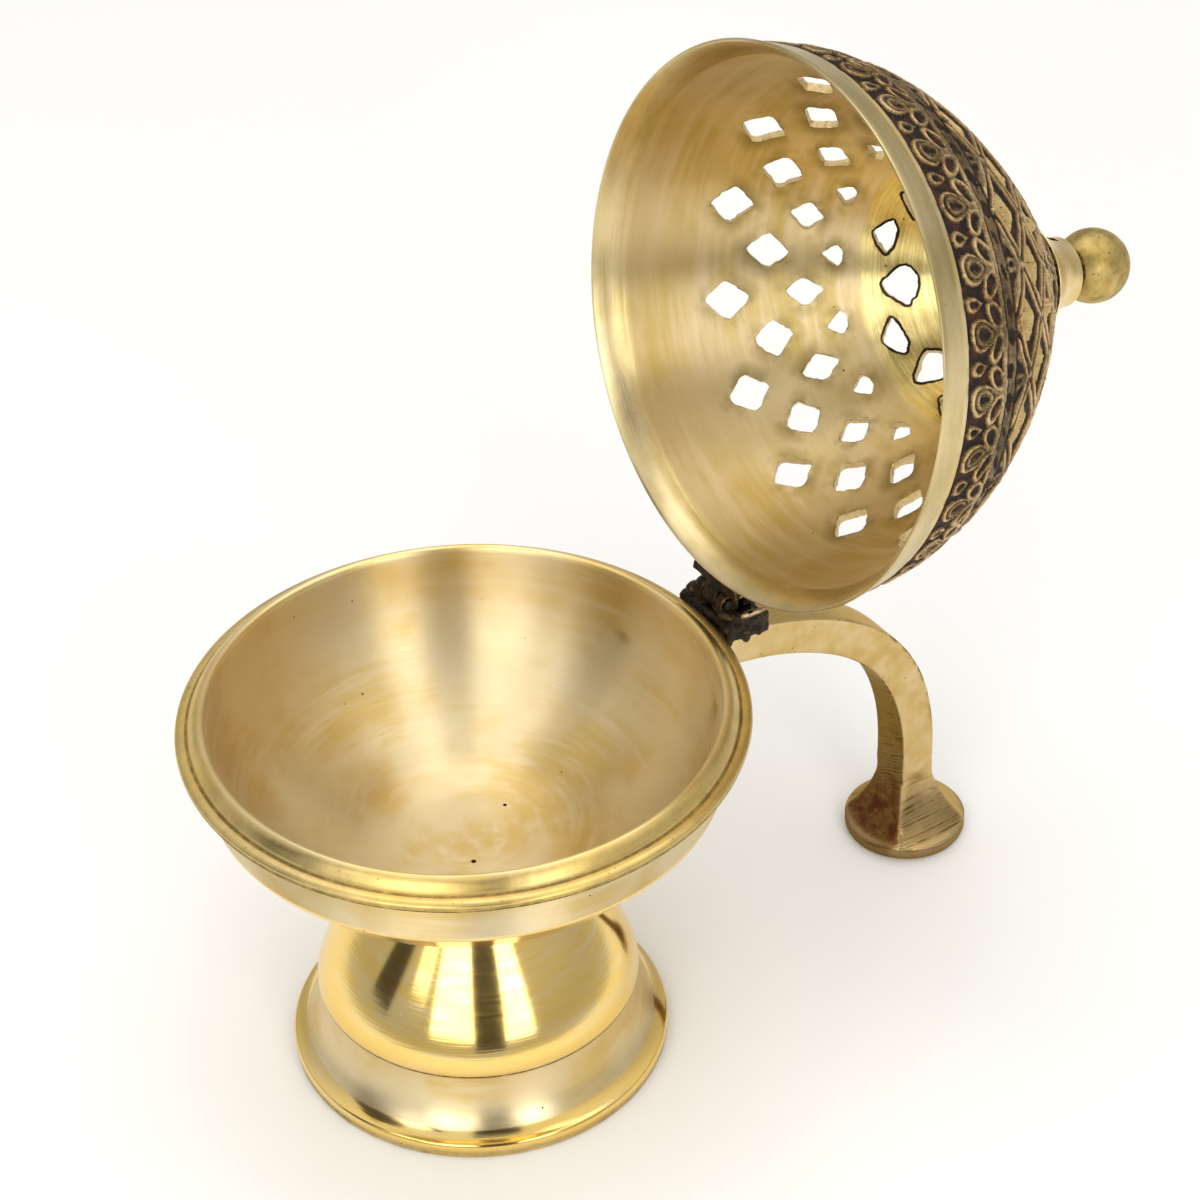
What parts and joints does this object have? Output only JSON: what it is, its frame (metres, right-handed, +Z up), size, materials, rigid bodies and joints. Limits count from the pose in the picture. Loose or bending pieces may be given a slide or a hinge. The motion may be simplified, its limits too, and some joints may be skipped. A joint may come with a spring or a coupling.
{
  "type": "footed incense censer",
  "caption": "Footed brass incense censer: open charcoal bowl, hinged pierced dome lid with ball finial, and a curved handle that stands on its own disc.",
  "frame": {"origin": "centre of the open censer's bounding box, on the table plane that the foot ring and the handle's disc stand on", "axes": "+X from the bowl towards the hinge, handle and open lid, +Y to the left seen from the bowl's free side, +Z up along the bowl's axis; Y = 0 is the mirror plane"},
  "size_m": [0.199, 0.102, 0.1816],
  "materials": {
    "satin_brass": "satin, lathe-brushed",
    "polished_brass": "mirror-polished bulge, satin skirt",
    "filed_brass": "filed and lightly buffed casting",
    "lid_brass": "brushed inside, blackened cast relief with buffed ridges outside",
    "antique_brass": "antiqued, brushed",
    "blackened_brass": "blackened casting",
    "fastener_brass": "plain turned"
  },
  "bodies": {
    "base": {"bowl": "satin_brass", "foot": "polished_brass", "foot_washer": "fastener_brass", "foot_screw": "fastener_brass", "handle": "filed_brass", "handle_rivet_left": "satin_brass", "handle_rivet_right": "satin_brass", "hinge_bracket": "blackened_brass", "bracket_rivet": "blackened_brass", "hinge_pin": "blackened_brass"},
    "lid": {"lid": "lid_brass", "lid_lug": "blackened_brass", "lug_rivet_left": "blackened_brass", "lug_rivet_right": "blackened_brass", "finial_collar": "satin_brass", "finial_ball": "antique_brass", "finial_nut": "fastener_brass"}
  },
  "joints": [
    {"name": "lid_hinge", "type": "hinge", "parent": "base", "child": "lid", "pos_m": [0.00621, 0, 0.0779], "axis": [0, 1, 0], "range_deg": [-100.9, 0]}
  ]
}
